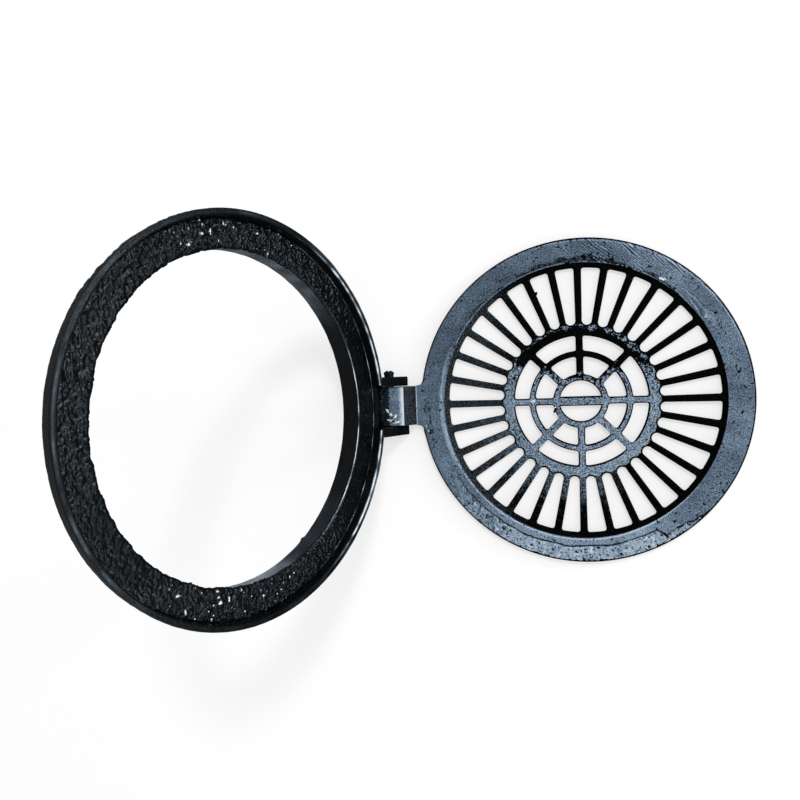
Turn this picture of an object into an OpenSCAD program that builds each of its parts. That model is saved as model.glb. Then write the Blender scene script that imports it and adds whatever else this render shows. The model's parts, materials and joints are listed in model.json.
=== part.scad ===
// Round storm drain grate hinged to a ring frame, lying opened on its service face.
// Millimetres, +Z up. Origin: centre of the grate's service face, which lies on the ground.
// The frame stands up from the hinge at -X and leans away from the grate, held by the stiff hinge.
// Both castings are drawn as installed, service face up at z = 0 with the hinge at +X, and are then turned over.

/* [Grate] */
// Outer diameter of the round grate
grate_d = 200; // [190:1:220]
// Thickness of the grate's rim
rim_t = 4.5; // [4:0.25:6.5]
// Radial width of the flat bearing face under the rim
rim_w = 15; // [12:0.5:18]
// Radial width of the sloping step between bearing face and bars
step_w = 1.6; // [1:0.1:2.5]
// Thickness of the bars and the medallion
bar_t = 3.75; // [3:0.25:4]
// Distance of the slot ends from the grate's edge
slot_margin = 18; // [17:0.5:22]
// Radius at the inner ends of the slots, which is the medallion's edge
medallion_r = 47; // [44:0.5:50]
// Radius of the corners at a slot's outer end
slot_fillet = 1.5; // [0.8:0.1:2.2]
// Number of bars, one of them on the hinge side
bar_count = 32; // [24:4:32]
// Width of a bar at its outer end
bar_w_outer = 4.6; // [4:0.1:6]
// Width of a bar at its inner end
bar_w_inner = 3.8; // [3.2:0.1:4.5]
// Chamfer round the grate's outer edge
edge_chamfer = 0.6; // [0.3:0.1:1]

/* [Medallion] */
// Radial width of the medallion's outer ring
outer_ring_w = 6.7; // [5:0.1:8]
// Radial width of the outer row of openings
outer_opening_w = 9.2; // [7:0.1:10]
// Radial width of the middle ring
middle_ring_w = 3.7; // [3:0.1:4.5]
// Radial width of the inner row of openings
inner_opening_w = 10.7; // [9:0.1:11]
// Radial width of the small ring round the centre hole
small_ring_w = 4.1; // [3:0.1:4.5]
// Number of spokes
spoke_count = 8; // [6:2:10]
// Width of a spoke
spoke_w = 4.3; // [3.5:0.1:5]
// Width of the bar across the centre hole
centre_bar_w = 5.8; // [4:0.1:7]
// Radius of the fillets in the corners of the medallion's openings
opening_fillet = 1.3; // [0.6:0.1:1.6]

/* [Tab and knuckle] */
// Width of the tab
tab_w = 25; // [20:0.5:30]
// Radius of the fillets between tab and rim
tab_fillet = 4; // [2:0.5:6]
// Distance of the pin axis beyond the grate's edge
pin_reach = 20; // [20:0.5:23]
// Depth of the pin axis below the service face
pin_drop = 7.5; // [7.25:0.25:8.5]
// Outer radius of the knuckle
knuckle_r = 7; // [6:0.25:7]
// Length over which the service face falls to the knuckle
knuckle_lead = 3; // [2:0.5:5]
// Length of the flat under the knuckle, from the pin axis towards the grate
knuckle_flat = 10.8; // [9:0.1:11]
// Length of the slope between tab and knuckle
knuckle_slope = 5.2; // [3:0.1:5.5]

/* [Hinge pin] */
// Diameter of the pin
pin_d = 6; // [4:0.25:7]
// Radial clearance of the pin in the knuckle
pin_clearance = 0.08; // [0.02:0.01:0.1]
// Distance of the plain end inside the lug's outer face
pin_inset = 0.8; // [0.4:0.1:2]
// Length that the split end stands out of the other lug
pin_stand = 1.4; // [1:0.1:3]
// Diameter of a spread leg
leg_d = 3.6; // [2.5:0.1:4.5]
// Length of a spread leg
leg_length = 4.4; // [3:0.1:6]
// Angle between a spread leg and the pin axis
leg_angle = 42; // [30:1:50]

/* [Frame] */
// Height of the whole frame
frame_h = 19; // [16:0.5:30]
// Gap between the grate's edge and the top of the lip
lip_gap = 2.4; // [1.8:0.1:3]
// Wall of the lip at its top
lip_w = 3.3; // [2.5:0.1:4]
// Amount by which the lip's foot stands in from its top
lip_draft = 0.8; // [0.3:0.1:1]
// Height left under the closed grate's rim
seat_gap = 0.3; // [0.2:0.05:0.5]
// Thickness of the seat plate at its outer edge
plate_t = 3.5; // [2.5:0.25:4.5]
// Fall of the seat plate's underside towards the skirt
plate_fall = 1.2; // [0.5:0.1:2]
// Amount by which the flange's outer wall leans in over its height
flange_draft = 1.2; // [0.5:0.1:1.6]
// Radial width of the seat under the closed grate's rim
seat_w = 12.5; // [11:0.5:14]
// Wall of the skirt
skirt_w = 5; // [4:0.25:6]
// Chamfer on the frame's edges
frame_chamfer = 0.6; // [0.3:0.1:0.8]

/* [Lugs] */
// Thickness of a lug
lug_t = 6; // [5:0.25:8]
// Side clearance between tab and lug
lug_gap = 0.4; // [0.3:0.05:0.6]
// Side clearance between tab and the notch through the lip
notch_gap = 1.2; // [1:0.1:2]
// Gap between the closed knuckle's slope and the flange, which is cut back between the lugs
slope_gap = 0.4; // [0.3:0.05:0.6]
// Height of the lugs' slanted ends over the ground, with the frame leaning back
ground_gap = 0.3; // [0.2:0.05:0.5]
// Length of the lug under the flange, inside the flange's edge
lug_root = 7; // [5:0.5:9]
// Bevel on the lug's outer top edge
lug_bevel = 1; // [0.5:0.25:1.5]
// Angle by which the frame is opened from the grate
open_angle = 115; // [105:1:120]

/* [Hidden] */
// Length by which a cutter runs past the face it leaves
over = 1;
// Facets of round solids
$fn = 128;
grate_r = grate_d / 2;
pin_r = pin_d / 2;
pin_x = grate_r + pin_reach;
// Radii of the grate, from the edge inwards
face_r = grate_r - rim_w;
bars_r = face_r - step_w;
slot_r = grate_r - slot_margin;
outer_opening_r = medallion_r - outer_ring_w;
middle_ring_r = outer_opening_r - outer_opening_w;
inner_opening_r = middle_ring_r - middle_ring_w;
small_ring_r = inner_opening_r - inner_opening_w;
centre_hole_r = small_ring_r - small_ring_w;
// A slot's round inner end touches the bars on both sides
bar_step = 360 / bar_count;
half_step = sin(bar_step / 2);
slot_end_r = (medallion_r * half_step - bar_w_inner / 2) / (1 - half_step);
slot_end_x = medallion_r + slot_end_r;
// Angle at which a round end or a fillet meets its straight side, in place of a true tangent
round_ease = 10;
// Number of flats that make up one fillet, and one slot's curved outer end
fillet_flats = 4;
spoke_step = 360 / spoke_count;
// Radii and heights of the frame
lip_r = grate_r + lip_gap;
lip_foot_r = lip_r - lip_draft;
flange_r = lip_r + lip_w;
seat_z = -rim_t - seat_gap;
flange_bottom_z = seat_z - plate_t;
flange_foot_r = flange_r - flange_draft;
clear_r = grate_r - seat_w;
skirt_r = clear_r + skirt_w;
// Lugs, measured from the pin axis
lug_y = tab_w / 2 + lug_gap;
notch_w = tab_w + 2 * notch_gap;
bay_x = pin_x - knuckle_flat - knuckle_slope - slope_gap;
lug_r = pin_drop - ground_gap;
lug_end = (lug_r - pin_drop * cos(open_angle)) / sin(open_angle);

// Turns a casting over, so that its service face looks down
module turned_over() {
    rotate([0, 180, 0]) children();
}

// Swings the turned frame up about the pin to its resting angle
module opened() {
    translate([-pin_x, 0, pin_drop])
        rotate([0, -open_angle, 0])
            translate([pin_x, 0, -pin_drop])
                turned_over() children();
}

// Extrudes a profile drawn in X and Z about the middle plane, width along Y
module across(width) {
    rotate([90, 0, 0])
        linear_extrude(height = width, center = true) children();
}

// Rim and bar disc in one turned section
module grate_disc() {
    rotate_extrude()
        polygon([
            [0, 0],
            [grate_r - edge_chamfer, 0],
            [grate_r, -edge_chamfer],
            [grate_r, -rim_t + edge_chamfer],
            [grate_r - edge_chamfer, -rim_t],
            [face_r, -rim_t],
            [bars_r, -bar_t],
            [0, -bar_t]
        ]);
}

// Slot along +X with a round inner end, and an outer end that follows the rim between two fillets
module slot_outline() {
    side = [slot_end_x, slot_end_r * cos(round_ease)];
    side_bearing = bar_step / 2 - asin(bar_w_outer / 2 / slot_r);
    corner = slot_r * [cos(side_bearing), sin(side_bearing)];
    lean = atan2(corner[1] - side[1], corner[0] - side[0]);
    ahead = [cos(lean), sin(lean)];
    moved_in = corner + slot_fillet * [sin(lean), -cos(lean)];
    along = moved_in * ahead;
    back = along - sqrt(along * along - moved_in * moved_in + pow(slot_r - slot_fillet, 2));
    centre = moved_in - back * ahead;
    bearing = atan2(centre[1], centre[0]);
    turn = bearing - 90 - lean;
    fillet = [for (i = [0 : fillet_flats])
        centre + slot_fillet * [
            cos(90 + lean + turn * i / fillet_flats),
            sin(90 + lean + turn * i / fillet_flats)
        ]];
    polygon(concat(
        [side],
        fillet,
        [for (i = [1 : fillet_flats - 1])
            slot_r * [cos(bearing * (1 - 2 * i / fillet_flats)), sin(bearing * (1 - 2 * i / fillet_flats))]],
        [for (i = [fillet_flats : -1 : 0]) [fillet[i][0], -fillet[i][1]]],
        [[side[0], -side[1]]]
    ));
    translate([slot_end_x, 0]) circle(r = slot_end_r);
}

// The ring of slots between the bars
module slots() {
    for (i = [0 : bar_count - 1])
        rotate([0, 0, (i + 0.5) * bar_step])
            translate([0, 0, -rim_t - over])
                linear_extrude(height = rim_t + 2 * over) slot_outline();
}

// Flat ring between two radii
module ring_outline(outer, inner) {
    difference() {
        circle(r = outer);
        circle(r = inner);
    }
}

// Everything on the +X side of the medallion that lies between two neighbouring spokes
module spoke_bay(reach) {
    bay = spoke_step / 2;
    tip = spoke_w / 2 / sin(bay);
    polygon([
        [tip, 0],
        [tip + reach, reach * tan(bay)],
        [tip + reach, -reach * tan(bay)]
    ]);
}

// One row of openings of the medallion
module opening_row(outer, inner) {
    for (i = [0 : spoke_count - 1])
        rotate([0, 0, (i + 0.5) * spoke_step])
            translate([0, 0, -bar_t - over])
                linear_extrude(height = bar_t + 2 * over)
                    intersection() {
                        ring_outline(outer, inner);
                        spoke_bay(outer);
                    }
}

// Fillet in a corner between a spoke's side and a ring, on the spoke along +X, as short flats
module corner_outline(ring_r, into) {
    reach = opening_fillet * cos(round_ease);
    centre_y = spoke_w / 2 + reach;
    centre_x = sqrt(pow(ring_r + into * reach, 2) - centre_y * centre_y);
    bearing = atan2(centre_y, centre_x);
    from = into > 0 ? 270 : -90;
    to = into > 0 ? 180 + bearing : bearing;
    buried = opening_fillet / 2;
    polygon(concat(
        [for (i = [0 : fillet_flats]) [
            centre_x + opening_fillet * cos(from + (to - from) * i / fillet_flats),
            centre_y + opening_fillet * sin(from + (to - from) * i / fillet_flats)
        ]],
        [
            [(ring_r - into * buried) * cos(bearing), (ring_r - into * buried) * sin(bearing)],
            [ring_r - into * buried, spoke_w / 2 - buried],
            [centre_x, spoke_w / 2 - buried]
        ]
    ));
}

// Fillets of one row of openings
module row_fillets(outer, inner) {
    for (i = [0 : spoke_count - 1])
        rotate([0, 0, i * spoke_step])
            for (side = [0, 1])
                mirror([0, side, 0])
                    translate([0, 0, -bar_t])
                        linear_extrude(height = bar_t) {
                            corner_outline(outer, -1);
                            corner_outline(inner, 1);
                        }
}

// Centre hole, split by the centre bar
module centre_hole() {
    translate([0, 0, -bar_t - over])
        linear_extrude(height = bar_t + 2 * over)
            difference() {
                circle(r = centre_hole_r);
                square([2 * centre_hole_r + over, centre_bar_w], center = true);
            }
}

// Fillet between the tab's side and the rim
module tab_fillet_outline() {
    centre_y = tab_w / 2 + tab_fillet;
    centre_x = sqrt(pow(grate_r + tab_fillet, 2) - centre_y * centre_y);
    touch = grate_r / (grate_r + tab_fillet);
    difference() {
        polygon([
            [centre_x * touch - over, 0],
            [centre_x, 0],
            [centre_x, centre_y],
            [centre_x * touch, centre_y * touch]
        ]);
        translate([centre_x, centre_y]) circle(r = tab_fillet);
    }
}

// Flat tab between rim and knuckle
module tab() {
    for (side = [0, 1])
        mirror([0, side, 0])
            translate([0, 0, -rim_t])
                linear_extrude(height = rim_t) tab_fillet_outline();
    across(tab_w)
        polygon([
            [face_r + over, 0],
            [pin_x - knuckle_lead, 0],
            [pin_x, knuckle_r - pin_drop],
            [pin_x, -pin_drop - knuckle_r],
            [pin_x - knuckle_flat, -pin_drop - knuckle_r],
            [pin_x - knuckle_flat - knuckle_slope, -rim_t],
            [face_r + over, -rim_t]
        ]);
    translate([pin_x, 0, -pin_drop])
        rotate([90, 0, 0])
            cylinder(r = knuckle_r, h = tab_w, center = true);
}

module pin_hole(radius, width) {
    translate([pin_x, 0, -pin_drop])
        rotate([90, 0, 0])
            cylinder(r = radius, h = width, center = true);
}

// The whole grate casting as installed
module grate_casting() {
    difference() {
        union() {
            grate_disc();
            tab();
        }
        slots();
        opening_row(outer_opening_r, middle_ring_r);
        opening_row(inner_opening_r, small_ring_r);
        centre_hole();
        pin_hole(pin_r + pin_clearance, tab_w + 2 * over);
    }
    row_fillets(outer_opening_r, middle_ring_r);
    row_fillets(inner_opening_r, small_ring_r);
}

// Lip, seat plate and skirt in one turned section
module frame_ring() {
    rotate_extrude()
        polygon([
            [lip_r, 0],
            [flange_r - frame_chamfer, 0],
            [flange_r, -frame_chamfer],
            [flange_foot_r, flange_bottom_z + frame_chamfer],
            [flange_foot_r - frame_chamfer, flange_bottom_z],
            [skirt_r, flange_bottom_z - plate_fall],
            [skirt_r, -frame_h],
            [clear_r, -frame_h],
            [clear_r, seat_z],
            [lip_foot_r, seat_z]
        ]);
}

// Side outline of a lug, drawn from the pin axis, with a slanted end that clears the ground
module lug_outline() {
    inner = flange_foot_r - lug_root - pin_x;
    difference() {
        polygon([
            [inner, pin_drop],
            [lug_end - lug_bevel, pin_drop],
            [lug_end - lug_bevel * (1 - cos(open_angle)), pin_drop - lug_bevel],
            [lug_r * sin(open_angle), lug_r * cos(open_angle)],
            [0, -lug_r],
            [flange_foot_r - pin_x, -lug_r],
            [inner, flange_bottom_z + pin_drop]
        ]);
        // The part over the seat stays open
        translate([inner - over, seat_z + pin_drop])
            square([lip_foot_r - pin_x - inner + over, over - seat_z]);
    }
    circle(r = lug_r);
}

// The whole frame casting as installed
module frame_casting() {
    difference() {
        union() {
            difference() {
                frame_ring();
                // Notch through the lip for the tab
                translate([lip_foot_r - over, -notch_w / 2, seat_z])
                    cube([lip_w + lip_draft + 2 * over, notch_w, -seat_z + over]);
                // Bay for the knuckle through the flange's edge
                translate([bay_x, -notch_w / 2, -frame_h])
                    cube([flange_r, notch_w, frame_h + over]);
            }
            for (side = [-1, 1])
                translate([pin_x, side * (lug_y + lug_t / 2), -pin_drop])
                    across(lug_t) lug_outline();
        }
        pin_hole(pin_r, 2 * (lug_y + lug_t + over));
    }
}

// Pin as installed, plain end in one lug and split end outside the other
module pin_solid() {
    plain_end = -lug_y - lug_t + pin_inset;
    split_end = lug_y + lug_t + pin_stand;
    translate([pin_x, plain_end, -pin_drop])
        rotate([-90, 0, 0]) {
            cylinder(r = pin_r, h = split_end - plain_end);
            for (side = [-1, 1])
                translate([0, 0, split_end - plain_end - leg_d / 2])
                    rotate([0, side * leg_angle, 0])
                        cylinder(r = leg_d / 2, h = leg_length);
        }
}

module frame() {
    color("#1b1c1e") opened() frame_casting();
}

module grate() {
    color("#2b323b") turned_over() grate_casting();
}

module hinge_pin() {
    color("#4a4744") opened() pin_solid();
}

frame();
grate();
hinge_pin();
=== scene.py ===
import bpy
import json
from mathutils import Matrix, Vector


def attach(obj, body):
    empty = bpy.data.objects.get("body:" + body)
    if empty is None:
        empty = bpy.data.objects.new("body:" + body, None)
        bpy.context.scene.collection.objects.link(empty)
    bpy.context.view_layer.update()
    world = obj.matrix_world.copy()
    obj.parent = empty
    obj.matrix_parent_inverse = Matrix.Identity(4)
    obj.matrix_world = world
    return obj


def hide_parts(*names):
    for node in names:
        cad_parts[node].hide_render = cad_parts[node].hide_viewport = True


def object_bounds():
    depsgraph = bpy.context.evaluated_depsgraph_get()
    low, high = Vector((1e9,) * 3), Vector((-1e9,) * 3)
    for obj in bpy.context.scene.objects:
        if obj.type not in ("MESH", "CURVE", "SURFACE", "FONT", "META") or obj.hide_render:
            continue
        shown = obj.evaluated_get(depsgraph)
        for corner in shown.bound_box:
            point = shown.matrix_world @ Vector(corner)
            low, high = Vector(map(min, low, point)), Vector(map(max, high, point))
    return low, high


bl_info = {
    "name": "Storm Drain Grate",
    "version": (1, 0, 0),
    "blender": (4, 5, 0),
    "location": "3D View > Sidebar > Drain Grate",
    "description": "Round cast iron storm drain grate, opened on its hinged frame",
    "category": "Add Mesh",
}

import json
import math

import bmesh
import bpy
import numpy as np
from mathutils import Matrix, Vector

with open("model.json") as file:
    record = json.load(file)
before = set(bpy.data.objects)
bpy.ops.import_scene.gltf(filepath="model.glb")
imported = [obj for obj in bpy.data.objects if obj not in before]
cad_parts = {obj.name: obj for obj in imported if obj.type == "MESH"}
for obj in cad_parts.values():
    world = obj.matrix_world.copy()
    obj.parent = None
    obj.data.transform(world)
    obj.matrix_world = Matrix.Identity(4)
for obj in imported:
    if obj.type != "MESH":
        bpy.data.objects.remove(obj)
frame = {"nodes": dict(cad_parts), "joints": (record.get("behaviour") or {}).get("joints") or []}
CAD_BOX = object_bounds()
MM = 0.001
HINGE = frame["joints"][0]


# Colours and nodes

def linear(colour):
    """Turns an sRGB hex colour such as "#20262c" into linear red, green, blue and alpha."""
    parts = [int(colour[i:i + 2], 16) / 255 for i in (1, 3, 5)]
    return [c / 12.92 if c <= 0.04045 else ((c + 0.055) / 1.055) ** 2.4 for c in parts] + [1.0]


def add(tree, kind, inputs=None, **settings):
    """Adds a node, gives it its settings, and sets or links each of its named or numbered inputs."""
    made = tree.nodes.new(kind)
    for name, value in settings.items():
        setattr(made, name, value)
    for name, value in (inputs or {}).items():
        if isinstance(value, bpy.types.NodeSocket):
            tree.links.new(value, made.inputs[name])
        else:
            made.inputs[name].default_value = value
    return made


def new_material(name):
    """A material with an empty node tree and its output."""
    material = bpy.data.materials.new(name)
    material.use_nodes = True
    tree = material.node_tree
    tree.nodes.clear()
    return material, tree, tree.nodes.new("ShaderNodeOutputMaterial")


def ramp(tree, value, stops):
    """A colour ramp from (position, colour) stops, each colour an sRGB hex or a property's linear one."""
    made = add(tree, "ShaderNodeValToRGB", {"Fac": value})
    for i, (place, colour) in enumerate(stops):
        stop = made.color_ramp.elements[i] if i < 2 else made.color_ramp.elements.new(place)
        stop.position = place
        stop.color = linear(colour) if isinstance(colour, str) else colour
    return made.outputs["Color"]


def spread(tree, value, low, high, to_low=0.0, to_high=1.0):
    """Carries a value from one range to another, smoothly, and holds it at the ends."""
    made = add(tree, "ShaderNodeMapRange", {
        "Value": value, "From Min": low, "From Max": high, "To Min": to_low, "To Max": to_high,
    }, interpolation_type="SMOOTHSTEP")
    return made.outputs["Result"]


def grain(tree, where, size_mm, detail=2.0, roughness=0.5, distortion=0.0):
    """Noise whose cells are size_mm across on the object."""
    made = add(tree, "ShaderNodeTexNoise", {
        "Vector": where, "Scale": 1 / (size_mm * MM), "Detail": detail,
        "Roughness": roughness, "Distortion": distortion,
    })
    return made.outputs["Fac"]


def combine(tree, operation, a, b):
    """One arithmetic step on two values."""
    made = add(tree, "ShaderNodeMath", {0: a, 1: b}, operation=operation)
    return made.outputs["Value"]


def plus(tree, first, *more):
    """The sum of its values"""
    for value in more:
        first = combine(tree, "ADD", first, value)
    return first


def minus(tree, a, b):
    """a - b"""
    return combine(tree, "SUBTRACT", a, b)


def times(tree, a, b):
    """a * b"""
    return combine(tree, "MULTIPLY", a, b)


def highest(tree, a, b):
    """The greater of a and b"""
    return combine(tree, "MAXIMUM", a, b)


def on_object(tree):
    """Places on the object itself, in metres"""
    return add(tree, "ShaderNodeTexCoord").outputs["Object"]


def noted(tree, name):
    """The number that the mesh carries under a name"""
    return add(tree, "ShaderNodeAttribute", attribute_name=name).outputs["Fac"]


# Shapes

def lattice_noise(points, cell, seed):
    """Random values from -1 to 1 at the corners of a cubic lattice, blended between them by 3t^2 - 2t^3."""
    table = np.random.default_rng(seed).random((64, 64, 64)) * 2 - 1
    scaled = np.asarray(points) / cell
    low = np.floor(scaled).astype(int)
    t = scaled - low
    t = t * t * (3 - 2 * t)
    total = np.zeros(len(scaled))
    for corner in np.ndindex(2, 2, 2):
        index = (low + corner) % 64
        weight = np.prod(np.where(np.array(corner) == 1, t, 1 - t), axis=1)
        total += weight * table[index[:, 0], index[:, 1], index[:, 2]]
    return total


def unit(value):
    """Holds values between 0 and 1."""
    return np.clip(value, 0, 1)


def window(value, low, high, soft):
    """1 between low and high, and 0 outside them, with soft ramps of 3t^2 - 2t^3 just inside each end."""
    t = unit(np.minimum(value - low, high - value) / soft)
    return t * t * (3 - 2 * t)


def samplers(points, degrees):
    """Two functions for one surface: the noise at its points, and a window of their angle in degrees."""
    def noise(cell, seed):
        return lattice_noise(points, cell, seed)

    def arc(low, high, soft):
        return window(degrees, low, high, soft)

    return noise, arc


def ridge(value, place, width):
    """exp(-((value - place) / width)^2): 1 at the place, and falling away on both sides."""
    return np.exp(-((value - place) / width) ** 2)


def nodules(points, places, sizes):
    """Round grains on a surface: each is size * (1 - (distance / size)^2)^(1/2) high, and the highest wins."""
    height = np.zeros(len(points))
    for place, size in zip(places, sizes):
        near = 1 - np.sum((points - place) ** 2, axis=1) / size ** 2
        height = np.maximum(height, size * np.sqrt(unit(near)))
    return height


def note(mesh, name, values, domain="POINT"):
    """Writes one number a vertex or face into the mesh for its material."""
    attribute = mesh.attributes.new(name, "FLOAT", domain)
    attribute.data.foreach_set("value", np.asarray(values, np.float32))


def rounded_outline(corners, radii, steps=5):
    """Closed outline of straight sides and round corners: each corner is replaced by an arc that
    touches both sides, at corner + distance * side, with distance = radius / tan(half the corner's angle)."""
    corners = np.asarray(corners, float)
    points = []
    for i, corner in enumerate(corners):
        before = corners[i - 1] - corner
        after = corners[(i + 1) % len(corners)] - corner
        room = min(np.linalg.norm(before), np.linalg.norm(after)) * 0.48
        before /= np.linalg.norm(before)
        after /= np.linalg.norm(after)
        half = math.acos(np.clip(before @ after, -1, 1)) / 2
        distance = min(radii[i] / math.tan(half), room)
        radius = distance * math.tan(half)
        bisector = before + after
        bisector /= np.linalg.norm(bisector)
        centre = corner + bisector * radius / math.sin(half)
        start = corner + before * distance - centre
        end = corner + after * distance - centre
        turn = np.linspace(0, 1, steps + 1)[:, None]
        angle = math.pi - 2 * half
        points.append(centre + (np.sin((1 - turn) * angle) * start + np.sin(turn * angle) * end) / math.sin(angle))
    return np.vstack(points)


def spaced(outline, step):
    """Puts further points on an outline's long sides, so that no two neighbours are more than step apart."""
    closed = np.vstack([outline, outline[:1]])
    parts = []
    for a, b in zip(closed[:-1], closed[1:]):
        count = max(1, int(math.ceil(np.linalg.norm(b - a) / step)))
        parts.append(a + (b - a) * (np.arange(count) / count)[:, None])
    return np.vstack(parts)


def grid_faces(rows, columns, close_rows=True, close_columns=True):
    """Four-sided faces over a grid of points stored row by row, joined round where it closes."""
    i, j = np.meshgrid(np.arange(rows if close_rows else rows - 1),
                       np.arange(columns if close_columns else columns - 1), indexing="ij")
    i, j = i.ravel(), j.ravel()
    k, l = (i + 1) % rows, (j + 1) % columns
    return np.stack([i * columns + j, k * columns + j, k * columns + l, i * columns + l], axis=1)


def placed(name, data):
    """An object for a mesh, a lamp or a camera, put into the scene."""
    obj = bpy.data.objects.new(name, data)
    bpy.context.scene.collection.objects.link(obj)
    return obj


def end_caps(rows, columns):
    """The two faces that close the first and the last row of a grid."""
    return [range(columns), range((rows - 1) * columns, rows * columns)]


def make_piece(name, points, faces, material, body, caps=(), smooth_angle=32):
    """Puts a surface worked out with numpy into a mesh of its own that rides on a body of the frame."""
    mesh = bpy.data.meshes.new(name)
    mesh.from_pydata(points, [], [list(f) for f in faces] + [list(c) for c in caps])
    obj = placed(name, mesh)
    face_out(mesh)
    finish_piece(obj, material, body, smooth_angle)
    return obj


def face_out(mesh):
    """Turns every face of a closed mesh outwards."""
    work = bmesh.new()
    work.from_mesh(mesh)
    bmesh.ops.recalc_face_normals(work, faces=work.faces)
    work.to_mesh(mesh)
    work.free()


def finish_piece(obj, material, body, smooth_angle=32):
    """Smooth shading up to an angle, the material, and the body that carries the piece."""
    obj.data.materials.clear()
    obj.data.materials.append(material)
    obj.data.shade_smooth()
    obj.data.set_sharp_from_angle(angle=math.radians(smooth_angle))
    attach(obj, body)


def leaned(points, sizes):
    """Carries points of the frame from its own place, mouth up with the hinge towards +X, to the place
    in which it leans open about the pin: turned over, and swung up by the opening angle."""
    angle = sizes.open_angle
    pin_x, pin_z = abs(HINGE["pos_m"][0]) / MM, HINGE["pos_m"][2] / MM
    x = points[..., 0] - pin_x
    z = points[..., 2] + pin_z
    return np.stack([
        -pin_x - x * math.cos(angle) + z * math.sin(angle),
        points[..., 1],
        pin_z - x * math.sin(angle) - z * math.cos(angle),
    ], axis=-1)


def merged_copy(node, name):
    """A copy of a CAD node with its loose triangles joined and its flat faces made whole."""
    source = frame["nodes"][node]
    mesh = source.data.copy()
    mesh.name = name
    obj = placed(name, mesh)
    work = bmesh.new()
    work.from_mesh(mesh)
    bmesh.ops.remove_doubles(work, verts=work.verts, dist=2e-6)
    bmesh.ops.dissolve_limit(work, angle_limit=math.radians(0.5), verts=work.verts, edges=work.edges)
    work.to_mesh(mesh)
    work.free()
    return obj


# Sizes that a user may change

def mm(name, default, text):
    """A size in mm."""
    return bpy.props.FloatProperty(name=name, description=text + ", in mm", default=default)


class DRAIN_PG_grate(bpy.types.PropertyGroup):
    """Sizes of the grate's cast skin"""
    edge_round: mm("Edge round", 0.4, "Round that paint and casting give an edge")
    bar_round: mm("Bar round", 1.25, "Round on the bars")
    opening_round: mm("Opening round", 0.75, "Round on the medallion's openings")
    bar_height: mm("Bar height", 3.75, "Top of the bars and the medallion over the ground")
    medallion_r: mm("Medallion radius", 47.0, "Outer radius of the medallion")
    slot_r: mm("Slot radius", 82.0, "Radius to the outer ends of the slots")
    tab_end: mm("Tab end", 103.5, "From the grate's axis to the end of the tab's flat")
    rim_outer: mm("Rim outer radius", 100.0, "Outer radius of the grate")
    rim_inner: mm("Rim inner radius", 85.0, "Inner radius of the rim's flat top")
    rim_height: mm("Rim height", 4.5, "Top of the rim over the ground")
    skin_thickness: mm("Skin thickness", 0.1, "Mean height of the dressed skin over the rim's top")
    skin_limit: mm("Skin limit", 0.18, "Highest that the skin stands over the rim")
    skin_inset: mm("Skin inset", 0.9, "Width of the black edge outside the skin")
    skin_relief: mm("Skin relief", 0.06, "Height of the cast ripples of the rim")
    flow_height: mm("Flow line height", 0.2, "Height of the flow lines on the upper right of the rim")
    patch_step: mm("Patch step", 0.05, "Depth of the rough patch on the lower rim")
    knuckle_top: mm("Knuckle top", 14.5, "Top of the knuckle over the ground")
    scale_thickness: mm("Scale thickness", 2.2, "Thickness of the scale on the round side of the knuckle")


class DRAIN_PG_frame(bpy.types.PropertyGroup):
    """Sizes of the frame"""
    lip_r: mm("Lip radius", 102.4, "Inner radius of the lip at its top")
    lip_foot_r: mm("Lip foot radius", 101.6, "Inner radius of the lip at the seat")
    flange_r: mm("Flange radius", 105.7, "Outer radius of the frame at its top")
    flange_foot_r: mm("Flange foot radius", 104.5, "Outer radius at the flange's underside")
    seat_z: mm("Seat height", -4.8, "From the lip's top to the seat")
    flange_bottom_z: mm("Flange bottom", -8.3, "From the lip's top to the flange's underside at its edge")
    plate_fall: mm("Plate fall", 1.2, "Fall of the flange's underside towards the skirt")
    clear_r: mm("Clear radius", 87.5, "Radius of the clear opening")
    skirt_r: mm("Skirt radius", 92.5, "Outer radius of the skirt")
    height: mm("Frame height", 19.0, "From the skirt's foot to the lip's top")
    notch_half: mm("Notch half width", 13.7, "Half the width of the notch at the hinge")
    lug_y: mm("Lug inner face", 12.9, "From the frame's middle plane to each lug")
    lug_t: mm("Lug thickness", 6.0, "Thickness of each lug")
    lug_r: mm("Lug radius", 7.2, "Radius of each lug about the pin")
    lug_root: mm("Lug root", 7.0, "Reach of each lug under the flange")
    open_angle: bpy.props.FloatProperty(
        name="Open angle", description="Angle by which the frame is opened", subtype="ANGLE",
        default=math.radians(115))
    lump_height: mm("Lump height", 1.45, "Height of the sand lumps on the seat")
    crust_depth: mm("Crust depth", 1.15, "Depth of the crust's hollows under the seat")
    seat_sink: mm("Seat sink", 1.7, "Depth of the casting under its crust")
    bay_x: mm("Bay", 103.6, "From the frame's axis to the bay between the lugs")


class DRAIN_PG_finish(bpy.types.PropertyGroup):
    """Colours"""
    slate: bpy.props.FloatVectorProperty(
        name="Slate", description="Middle tone of the grate's rubbed paint", subtype="COLOR", size=4,
        default=linear("#6b7f93"), min=0, max=1)
    bitumen: bpy.props.FloatVectorProperty(
        name="Bitumen", description="Lightest tone of the frame's black paint", subtype="COLOR", size=4,
        default=linear("#090c0f"), min=0, max=1)


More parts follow.
